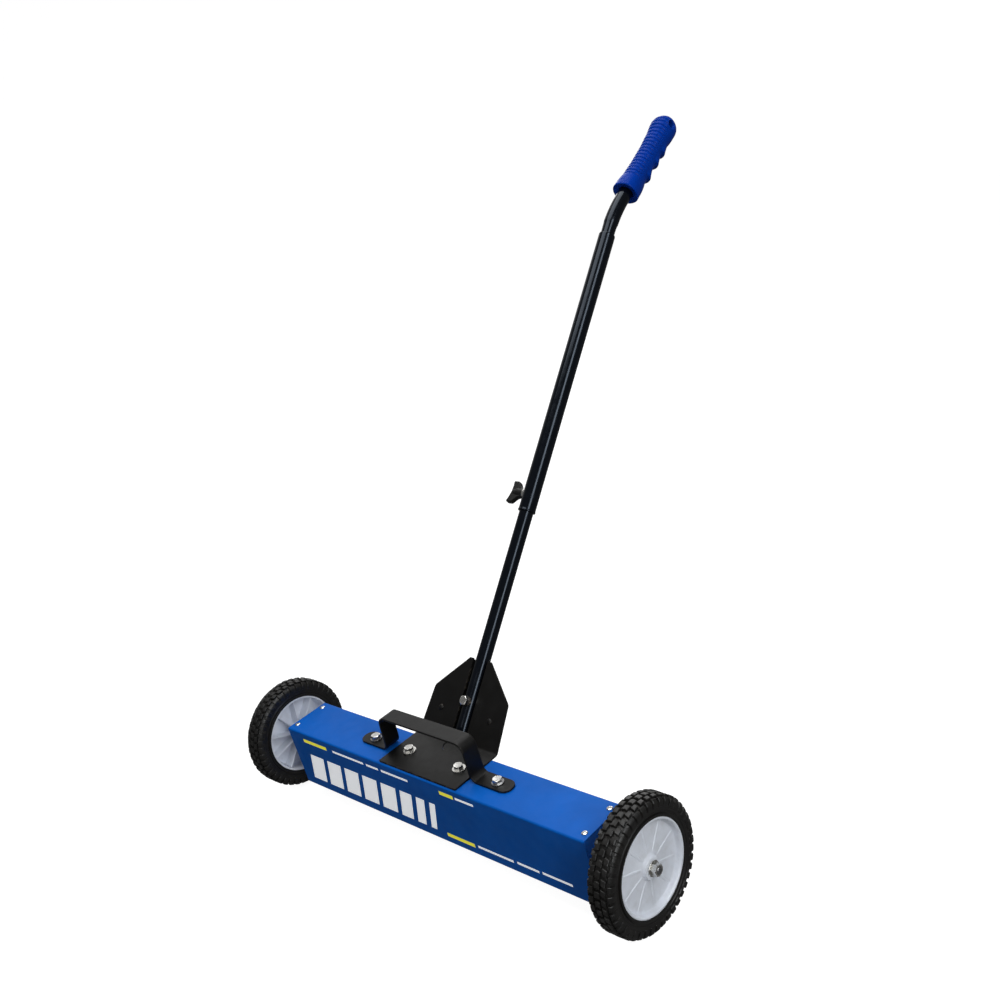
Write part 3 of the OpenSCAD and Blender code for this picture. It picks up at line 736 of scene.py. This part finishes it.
def make_channel():
    """The trough that holds the tube, with the ears that are riveted behind the bracket's wings."""
    sine, cosine = math.sin(math.radians(TILT)), math.cos(math.radians(TILT))
    plate_back = PLATE_THICK - (AXIS_BACK * cosine + AXIS_DROP * sine)
    inner, wall, thick = 11.3, 15, 2.5
    rear = inner + thick
    fold = Fold([(-wall, plate_back), (-wall, inner), (wall, inner), (wall, plate_back)], 2)
    top = PLATE_REACH - AXIS_BACK * sine + AXIS_DROP * cosine
    foot, low, side = -14, top - 10.5, inner - plate_back
    length = fold.length
    outline = rounded([(0, foot), (length, foot), (length, top), (length - side, low), (side, low), (0, top)],
                      [1.5, 1.5, 1.5, 3, 3, 1.5])
    hole = circle(length / 2, TUBE_BOLT, 4.1)
    flat = plate(outline, [hole], 0, thick, 0.4).cut(0, fold.cuts(6))

    def change(p):
        x, y = fold.at(p.x, p.z)
        return (x, y, p.y)
    trough = Shape().add(flat.moved(change), TUBE)
    ear = plate(rounded([(16, 24), (62, 24), (62, 58), (16, 58)], [1, 6, 6, 1], 5),
                [circle(RIVET_X, RIVET_UP, 2.5, 20)], -5.5, -3.02, 0.4)
    for m in BOTH:
        trough.add(ear, m @ PLATE)
    # A black flat under the slot, put there as painted shade so that the slot reads dark.
    trough.add(slot_shade_flat())
    piece("tube_trough", trough, "tube_channel")

    rivet = lathe([(0, -7.5), (2.6, -7.4), (3.6, -6.9), (4.1, -6.0), (4.1, -5.5), (2.4, -5.5), (2.4, 0),
                   (4.5, 0), (4.4, 0.5), (3.8, 1.3), (2.8, 1.8), (1.4, 2.05), (0, 2.1)], 32, closed=False)
    rivets = Shape()
    for m in BOTH:
        rivets.add(rivet, m @ PLATE @ shift(RIVET_X, RIVET_UP, 0))
    piece("channel_rivet_set", rivets, "channel_rivets")

    across = TUBE @ shift(0, 0, TUBE_BOLT) @ turn(90, "X")
    piece("saddle_ring", Shape().add(saddle(), across), "saddle_washer")
    seat = LOWER_R + SADDLE_RISE
    through = bolt(*M8_BOLT, seat + rear + 8.5)
    piece("tube_through_bolt", Shape().add(through, across @ shift(0, 0, seat) @ turn(14, "Z")), "tube_bolt")
    lock_nut = Shape().add(hexagon(*M8_NUT), across @ shift(0, 0, -rear) @ turn(180, "X"))
    piece("tube_bolt_lock_nut", lock_nut, "tube_bolt_nut")


def slot_shade_flat():
    """The flat that closes the bracket's slot from below, with a round front end: a black sheet that stands
    in for the shade inside the slot and hides the blue top beneath it.
    """
    half, tip, shoulder, end = 14.5, SLOT_FRONT + 15, 52, 56
    outline = [(x, y) for x, y in circle(0, tip, half, 48) if y < tip - 0.1]
    outline += [(half, tip), (half, shoulder), (16.2, shoulder), (16.2, end), (-16.2, end), (-16.2, shoulder),
                (-half, shoulder), (-half, tip)]
    foot_z = BRACKET_TOP - PLATE_THICK
    return plate(outline, [], foot_z, foot_z + 1.8, 0.3)


def saddle():
    """A washer whose underside follows the round tube."""
    shape, rows, n = Shape(), [], 48
    top = LOWER_R + SADDLE_RISE
    for radius, lift in ((8, 0), (8, top - 0.4), (7.6, top), (4.5, top), (4.2, top - 0.3), (4.2, 0)):
        row = []
        for i in range(n):
            x, y = radius * math.cos(math.tau * i / n), radius * math.sin(math.tau * i / n)
            row.append(shape.point(x, y, lift or math.sqrt((LOWER_R + 0.02) ** 2 - x * x)))
        rows.append(row)
    for a, b in zip(rows, rows[1:] + rows[:1]):
        shape.strip(a, b)
    return shape


# Handle
def make_tubes():
    lower = [(LOWER_BORE_R, 2), (LOWER_R, 2), (LOWER_R, 460), (LOWER_BORE_R, 460)]
    piece("lower_handle_tube", Shape().add(lathe(rounded(lower, 0.5, 3), 96), TUBE), "lower_tube")

    s, e, r = UPPER_START, UPPER_END, box("upper_tube")[1].x
    bore = 11.18
    upper = [(bore, s + 0.5), (11.6, s), (r + 0.2, s), (r + 0.55, s + 0.5), (r + 0.6, s + 1.6),
             (r + 0.2, s + 2.9), (r, s + 4.2), (r, s + 60), (r, e - 60), (r, e - 1.6), (r - 0.3, e - 0.5),
             (r - 0.8, e), (11.25, e), (bore, e - 0.5)]
    piece("upper_handle_tube", Shape().add(lathe(rounded(upper, 0.3, 2), 96), TUBE), "upper_tube")

    rise = math.radians(NECK_BEND)
    tangent = NECK_R * math.tan(rise / 2)
    corner, last = e + NECK_LEAD + tangent, tangent + 118
    fold = Fold([(e - 30, 0), (corner, 0), (corner + last * math.cos(rise), last * math.sin(rise))], NECK_R)
    wide = 12.1                         # outside radius, past the swage that fits inside the upper tube
    profile = [(LOWER_BORE_R, 0), (LOWER_R, 0), (LOWER_R, 29), (LOWER_R, 33), (11.15, 38), (11.25, 43),
               (11.4, 47), (11.75, 49.5), (12.05, 51.5), (wide, 54)]
    profile += [(wide, 57 + 3.0 * k) for k in range(16)]
    profile += [(wide, 150), (11.95, fold.length), (9.7, fold.length)]
    profile += [(LOWER_BORE_R, 33 + 3.0 * k) for k in reversed(range(24))]

    def change(p):
        along, off = fold.at(p.z, p.y)
        return (p.x, off, along)
    neck = lathe(profile, 96).moved(change)
    piece("bent_neck_tube", Shape().add(neck, TUBE), "neck_tube")


def make_clamp():
    dressed("knob_boss")
    stud = threaded(8, 11.2, 30, 0, 1.25)
    piece("clamp_stud_thread", Shape().add(stud, CLAMP), "lock_stud")
    near, far = -box("wing_knob")[1].x, -box("wing_knob")[0].x
    side = [(7.3, near), (7.7, near + 4), (9.8, near + 9), (17.6, near + 15.5), (18.5, near + 17.5),
            (18.5, far), (9.5, far - 2.4), (0, far - 3.4)]
    outline = side + [(-x, z) for x, z in reversed(side[:-1])]
    radii = [0.8, 8, 8, 1.5, 1.5, 2, 14, 14, 14, 2, 1.5, 1.5, 8, 8, 0.8]
    wings = plate(rounded(outline, radii, 4), [], -4.4, 4.4, 1.5, 4)
    knob = Shape().add(wings, turn(90, "X"))
    stem = [(0, near), (7.2, near), (7.5, near + 12), (5.5, far - 6), (0, far - 5.5)]
    knob.add(lathe(rounded(stem, [0, 0.8, 5, 3, 0], 4), 48, closed=False))
    piece("wing_clamp_knob", Shape().add(knob, CLAMP @ turn(12, "Z")), "wing_knob")


def curve_through(knots, z):
    """A smooth value at z through (z, value) knots."""
    if z <= knots[0][0]:
        return knots[0][1]
    for (z0, a), (z1, b) in zip(knots, knots[1:]):
        if z <= z1:
            s = min(1.0, max(0.0, (z - z0) / (z1 - z0)))
            return a + (b - a) * s * s * (3 - 2 * s)
    return knots[-1][1]


GRIP_LENGTH, GRIP_CAP = 177, 154
HOLE_FRONT, HOLE_BACK = 6, 20       # hang hole: ahead of the grip's axis, and down from its end
GRIP_FRONT = [(0, 22.0), (12, 21.4), (38, 18.6), (64, 17.6), (96, 17.8), (122, 19.4), (154, 22.2)]
GRIP_SIDE = [(0, 22.0), (12, 21.0), (38, 18.4), (64, 17.6), (96, 17.6), (122, 18.4), (154, 22.0)]
GRIP_UNDER = [(0, 22.4), (20, 22.8), (29, 22.2), (38, 19.8), (64, 19.2), (112, 19.4), (122, 20.4),
              (140, 22.5), (154, 22.2)]
GRIP_SEGMENTS = 112
FINGER_STOPS = (50, 83, 109)        # heights of the stops' tips
STOP_OUT, STOP_STEP, STOP_SLOPE = 5.0, 3.0, 22      # how far out, and how long on each side of the tip
RIB_PITCH, RIB_LOW, RIB_HIGH, RIB_DEPTH = 7.6, 26, 166, 1.7


def stop_height(z):
    """How far a finger stop stands out: a sharp step on its lower side and a long slope above."""
    best = 0.0
    for tip in FINGER_STOPS:
        if tip - STOP_STEP < z <= tip:
            best = max(best, STOP_OUT * curve_through([(tip - STOP_STEP, 0.0), (tip, 1.0)], z))
        elif tip < z < tip + STOP_SLOPE:
            best = max(best, STOP_OUT * (1 - (z - tip) / STOP_SLOPE) ** 1.3)
    return best


def grip_row(z):
    """The grip's outline at height z: ribbed in front, smooth at the sides, finger stops behind."""
    shrink, zz = 1.0, min(z, GRIP_CAP)
    if z > GRIP_CAP:
        shrink = max(0.0, 1 - ((z - GRIP_CAP) / (GRIP_LENGTH - GRIP_CAP)) ** 2.1) ** (1 / 2.1)
    front, side = curve_through(GRIP_FRONT, zz), curve_through(GRIP_SIDE, zz)
    under = curve_through(GRIP_UNDER, zz)
    row = []
    for i in range(GRIP_SEGMENTS):
        a = math.tau * i / GRIP_SEGMENTS
        c, s = math.cos(a), math.sin(a)         # c is +1 behind and -1 in front
        reach = under if c > 0 else front
        r = 1 / (abs(c / reach) ** 2.2 + abs(s / side) ** 2.2) ** (1 / 2.2)
        r += stop_height(z) * curve_through([(0.15, 0.0), (0.62, 1.0)], c)
        if RIB_LOW < z < RIB_HIGH:
            phase = (z - RIB_LOW) % RIB_PITCH / RIB_PITCH
            groove = math.exp(-((phase - 0.5) / 0.15) ** 2)
            r -= RIB_DEPTH * groove * curve_through([(0.0, 0.0), (0.4, 1.0)], -c)
        row.append((r * s * shrink, r * c * shrink, z))
    return row


def make_grip():
    shape, rows = Shape(), []
    turns = [math.tau * i / GRIP_SEGMENTS for i in range(GRIP_SEGMENTS)]
    for r, z in [(0, 30), (12.2, 30), (12.2, 2.6), (13.0, 1.7), (17.4, 0.9), (19.6, 0.35)]:     # the socket
        rows.append([shape.point(r * math.sin(a), r * math.cos(a), z) for a in (turns if r else turns[:1])])
    heights = [0.0, 0.6, 1.5] + [0.8 * k for k in range(3, 220)] + [GRIP_LENGTH - d for d in (0.7, 0.35, 0.1)]
    for z in heights:
        ease = 1 - 0.06 * max(0.0, 1 - z / 1.5) ** 2
        rows.append([shape.point(x * ease, y * ease, z) for x, y, z in grip_row(z)])
    rows.append([shape.point(0, 0, GRIP_LENGTH)])
    for a, b in zip(rows, rows[1:]):
        shape.strip(a, b)
    made = piece("ribbed_hand_grip", Shape().add(shape, GRIP), "hand_grip", sharp=60)
    cut_hole(made, GRIP @ shift(0, -HOLE_FRONT, GRIP_LENGTH - HOLE_BACK) @ turn(90, "Y"), 6.0, 21.3, 60)


def cut_hole(made, place, radius, reach, sharp):
    """Drills a round hole with flared mouths through a piece that is 2 * reach thick."""
    drill = bpy.data.meshes.new("drill")
    flare = [(0.0, -8), (0.2, -4), (0.7, -2), (1.5, -0.9), (2.8, 0.1), (4.0, 0.9), (4.4, 4)]
    flare = [(radius + wider, reach + on) for wider, on in flare] + [(0, reach + 4)]
    profile = [(r, -z) for r, z in reversed(flare)] + flare
    bm = lathe(profile, 48, closed=False).to_bmesh()
    bmesh.ops.recalc_face_normals(bm, faces=bm.faces)
    bmesh.ops.transform(bm, matrix=Matrix.Scale(MM, 4) @ place, verts=bm.verts)
    bm.to_mesh(drill)
    bm.free()
    cutter = bpy.data.objects.new("drill", drill)
    bpy.context.scene.collection.objects.link(cutter)
    made.modifiers.clear()
    cut = made.modifiers.new("hole", "BOOLEAN")
    cut.object, cut.operation, cut.solver = cutter, "DIFFERENCE", "EXACT"
    bpy.context.view_layer.update()
    graph = bpy.context.evaluated_depsgraph_get()
    result = bpy.data.meshes.new_from_object(made.evaluated_get(graph))
    made.modifiers.clear()
    made.data = result
    result.set_sharp_from_angle(angle=math.radians(sharp))
    bpy.data.objects.remove(cutter)


# Wheels
HUB_RIBS = 10
LUGS, PITCH = 44, 12.7
LUG_LONG, LUG_TALL = 8.0, 3.9
LUG_STEPS = [0, 0.6, 1.05, 1.65, 2.25, 4.0, 5.75, 6.35, 6.95, 7.4, 8.0, 8.6, 10.3, 12.1]
TREAD_ROWS = [(-1, 3.9, 0), (6.0, 11.4, PITCH / 2), (13.4, 23.4, 0)]     # first, last and phase


def ramp(value, low, high, soft):
    """How far inside a span a value is, from 0 at its foot to 1 over its top."""
    inside = min(value - low, high - value)
    if inside < 0:
        return max(0.0, 1 + inside / soft) * 0.85
    return min(1.0, 0.85 + 0.15 * inside / soft)


def lug_height(u, s, lug):
    """Height of the tread at u round the tyre, within one pitch, and s across it."""
    away, best = abs(s), 0.0
    for row, (low, high, phase) in enumerate(TREAD_ROWS):
        v = (u - phase + 0.6) % PITCH - 0.6
        full = LUG_TALL if away < 12.5 else LUG_TALL - 2.7 * (away - 12.5) / 11
        full -= 0.35 * ((7 * lug + 3 * row + (2 if s > 0 else 0)) % 5) / 4
        best = max(best, full * min(ramp(v, 0, LUG_LONG, 0.6), ramp(away, low, high, 0.5)))
    return best


def tyre_shape():
    """A tyre whose lug edges all lie on lines of its grid, so that they stay crisp."""
    casing = Fold([(-16.2, 66.8), (-17.2, 75), (-15.9, 82), (-11, 85.1), (11, 85.1), (15.9, 82), (17.2, 75),
                   (16.2, 66.8)], 3.5)
    middle = casing.length / 2
    half = [1.7, 3.4, 3.9, 4.4, 5.0, 5.5, 6.0, 6.5, 8.7, 10.9, 11.4, 11.9, 12.4, 12.9, 13.4, 13.9, 15.2, 16.4,
            17.6, 18.8, 20, 21.4, 22.9, 23.4, 23.9, 25.2, 26.6, 27.6, 28.0, 28.8, 29.2, 30.4]
    half += [middle]
    stations = [-s for s in reversed(half)] + [0] + half
    bead = [(18.0, 66.6), (18.3, 66.0), (18.3, 64.4), (17.7, 63.2), (16.6, 62.6), (0, 62.6)]
    bead += [(-z, r) for z, r in reversed(bead[:-1])]
    shape, rows = Shape(), []
    for s in stations:
        row = []
        ridge = 0.45 if 27.8 < abs(s) < 29.0 else 0.0
        for k in range(LUGS):
            for u in LUG_STEPS:
                z, r = casing.at(middle + s, lug_height(u, s, k) + ridge)
                a = (k + (u + 0.3 * min(abs(s), 12)) / PITCH) * math.tau / LUGS
                row.append(shape.point(r * math.cos(a), r * math.sin(a), z))
        rows.append(row)
    n = LUGS * len(LUG_STEPS)
    for z, r in bead:
        rows.append([shape.point(r * math.cos(math.tau * i / n), r * math.sin(math.tau * i / n), z)
                     for i in range(n)])
    for a, b in zip(rows, rows[1:] + rows[:1]):
        shape.strip(a, b)
    return shape


def hub_shape():
    """A dished hub with thin ribs on its inner face and soft webs on its outer face."""
    section = [(4.83, -18), (12.6, -18), (13.4, -16), (14, 4.4), (56.5, 4.0), (58.6, -1), (59.8, -17.3),
               (62.5, -17.3), (62.5, 17.4), (60.4, 17.4), (58.6, 15), (57, 9.4), (30, 9.6), (16.4, 11),
               (14.2, 16), (4.83, 16)]
    radii = [0.2, 0.8, 1, 2, 2, 2, 0.9, 0.4, 0.4, 0.9, 1, 2, 8, 3, 1.2, 0.2]
    hub = lathe(rounded(section, radii, 4), 128)
    inner = [(12.5, 6), (12.5, -13), (58.8, -13), (58.0, 6)]
    outer = [(12.5, 7), (12.5, 11.7), (15, 11.3), (57.8, 9.72), (57.8, 7)]
    rib = plate(rounded(inner, [0, 1, 1, 0]), [], -1.0, 1.0, 0.5)
    web = plate(rounded(outer, [0, 0.5, 0.5, 0.5, 0]), [], -2.2, 2.2, 1.5, 4)
    for i in range(HUB_RIBS):
        spoke = turn(360 / HUB_RIBS * i + 32, "Z") @ turn(90, "X")
        hub.add(rib, spoke).add(web, spoke)
    return hub


def make_wheels():
    tyre, hub = tyre_shape(), hub_shape()
    for side, name in ((-1, "left"), (1, "right")):
        place = wheel_place(side)
        piece(name + "_tyre", Shape().add(tyre, place), "tyre_" + name, sharp=32)
        spin = turn(0 if side > 0 else 8, "Z")
        piece(name + "_hub", Shape().add(hub, place @ spin), "wheel_hub_" + name)


def make_axles():
    inner = box("axle_bolt_right")[0].x
    for side, name in ((-1, "left"), (1, "right")):
        axle = Shape().add(hexagon(AXLE_HEX, 6), turn(180, "X") @ shift(0, 0, -6))
        axle.add(threaded(AXLE_D, 5, box("axle_bolt_right")[1].x - inner, 66, 1.5))
        placed = Shape().add(axle, axle_place(side, inner))
        piece(name + "_axle_bolt", placed, "axle_bolt_" + name, look="dark_zinc")
    nuts, jams, spacers, washers = Shape(), Shape(), Shape(), Shape()
    nut_x, jam_x = fastener_inner("axle_nuts"), fastener_inner("axle_jam_nuts")
    spacer_x, spacer_end = fastener_inner("axle_spacers"), box("axle_spacers")[1].x
    for side in (-1, 1):
        nuts.add(hexagon(AXLE_HEX, 8, AXLE_D), axle_place(side, nut_x) @ turn(11 * side, "Z"))
        jams.add(hexagon(AXLE_HEX, 7, AXLE_D), axle_place(side, jam_x))
        spacers.add(washer(14, 9.6, spacer_end - spacer_x), axle_place(side, spacer_x))
        for x in (spacer_end, nut_x - 1.6):
            washers.add(washer(20.6, 9.7, 1.6, 0.4), axle_place(side, x))
    piece("axle_nut_set", nuts, "axle_nuts")
    piece("axle_jam_nut_set", jams, "axle_jam_nuts")
    piece("axle_spacer_set", spacers, "axle_spacers")
    piece("axle_washer_set", washers, "axle_washers")


# ---------------------------------------------------------------- stage
def make_stage():
    """A seamless pale sweep: a round floor that curves up into a wall."""
    profile = [(0.0, 0.0), (2.0, 0.0), (3.0, 0.0), (5.0, 0.0), (5.0, 4.5)]
    sweep = lathe(rounded(profile, [0, 0, 0, 1.8, 0], 24, closed=False), 96, closed=False)
    mesh = smooth_mesh("sweep", sweep.to_bmesh())
    look = Look("pale_floor", {"Roughness": 0.9, "Specular IOR Level": 0.0, "Emission Strength": 0.93})
    tone = look.spread(look.noise(1.5, 2), 0.3, 0.7, 0, 1)
    look.set("Base Color", look.mix(tone, (0.29, 0.29, 0.29, 1), (0.31, 0.31, 0.31, 1)))
    look.set("Emission Color", look.mix(tone, (0.99, 0.99, 0.99, 1), (1, 1, 1, 1)))
    mesh.materials.append(look.material)
    floor = bpy.data.objects.new("studio_floor", mesh)
    bpy.context.scene.collection.objects.link(floor)
    floor.visible_glossy = floor.visible_diffuse = False


def lamp(name, place, aim, size, power, along, colour=(1, 1, 1)):
    """A soft rectangular lamp at place, facing aim, with its long side along a direction."""
    data = bpy.data.lights.new(name, "AREA")
    data.shape, (data.size, data.size_y) = "RECTANGLE", size
    data.energy, data.color = power, colour
    made = bpy.data.objects.new(name, data)
    bpy.context.scene.collection.objects.link(made)
    z = (Vector(place) - Vector(aim)).normalized()
    y = (Vector(along) - z * Vector(along).dot(z)).normalized()
    x = y.cross(z)
    made.matrix_world = Matrix.Translation(place) @ Matrix((x, y, z)).transposed().to_4x4()
    made.visible_camera = False


def make_light():
    aim = (0, 0.3, 0.3)
    rise = (0, math.sin(math.radians(TILT)), math.cos(math.radians(TILT)))
    lamp("overhead", (-0.3, 0.4, 3.2), aim, (2.6, 2.2), 60, (1, 0, 0))
    lamp("camera_side_strip", (2.15, -0.31, 1.76), (0, 0.4, 0.5), (0.8, 2.4), 40, rise, (0.95, 0.98, 1.0))
    lamp("front_fill", (0.2, -3.0, 1.6), aim, (2.0, 1.4), 13, (1, 0, 0))
    lamp("rear_fill", (-1.7, 2.6, 1.5), aim, (2.0, 1.2), 15, (1, 0, 0))
    world = bpy.data.worlds.new("studio")
    bpy.context.scene.world = world
    world.use_nodes = True
    tree = world.node_tree
    sky = tree.nodes["Background"]
    place = tree.nodes.new("ShaderNodeTexCoord")
    toward = tree.nodes.new("ShaderNodeVectorMath")
    toward.operation = "DOT_PRODUCT"
    toward.inputs[1].default_value = (-0.70, 0.61, 0.37)
    spread = tree.nodes.new("ShaderNodeMapRange")
    for socket, value in (("From Min", 0.7), ("From Max", 0.98), ("To Min", 0.13), ("To Max", 0.75)):
        spread.inputs[socket].default_value = value
    tree.links.new(place.outputs["Generated"], toward.inputs[0])
    tree.links.new(toward.outputs["Value"], spread.inputs["Value"])
    tree.links.new(spread.outputs["Result"], sky.inputs["Strength"])
    sky.inputs["Color"].default_value = (1, 1, 1, 1)


def make_camera():
    """The viewing angle of the product shot, with its slight roll."""
    around, down, roll = math.radians(47.8), math.radians(19.8), math.radians(-14.4)
    ahead = Vector((-math.sin(around) * math.cos(down), math.cos(around) * math.cos(down), -math.sin(down)))
    ahead.normalize()
    level = Vector((math.cos(around), math.sin(around), 0))
    up = level.cross(ahead)
    right = math.cos(roll) * level + math.sin(roll) * up
    top = -math.sin(roll) * level + math.cos(roll) * up
    data = bpy.data.cameras.new("camera")
    data.lens, data.sensor_width, data.clip_end = 38.93, 36.0, 100.0
    camera = bpy.data.objects.new("camera", data)
    bpy.context.scene.collection.objects.link(camera)
    turned = Matrix((right, top, -ahead)).transposed().to_4x4()
    camera.matrix_world = Matrix.Translation((1.12497, -0.76992, 0.98231)) @ turned
    bpy.context.scene.camera = camera
    bpy.context.scene.view_settings.view_transform = "Standard"


make_looks()
make_housing()
make_end_panels()
make_pan()
make_magnets()
make_release()
make_bracket()
make_channel()
make_tubes()
make_clamp()
make_grip()
make_wheels()
make_axles()
make_stage()
make_light()
make_camera()
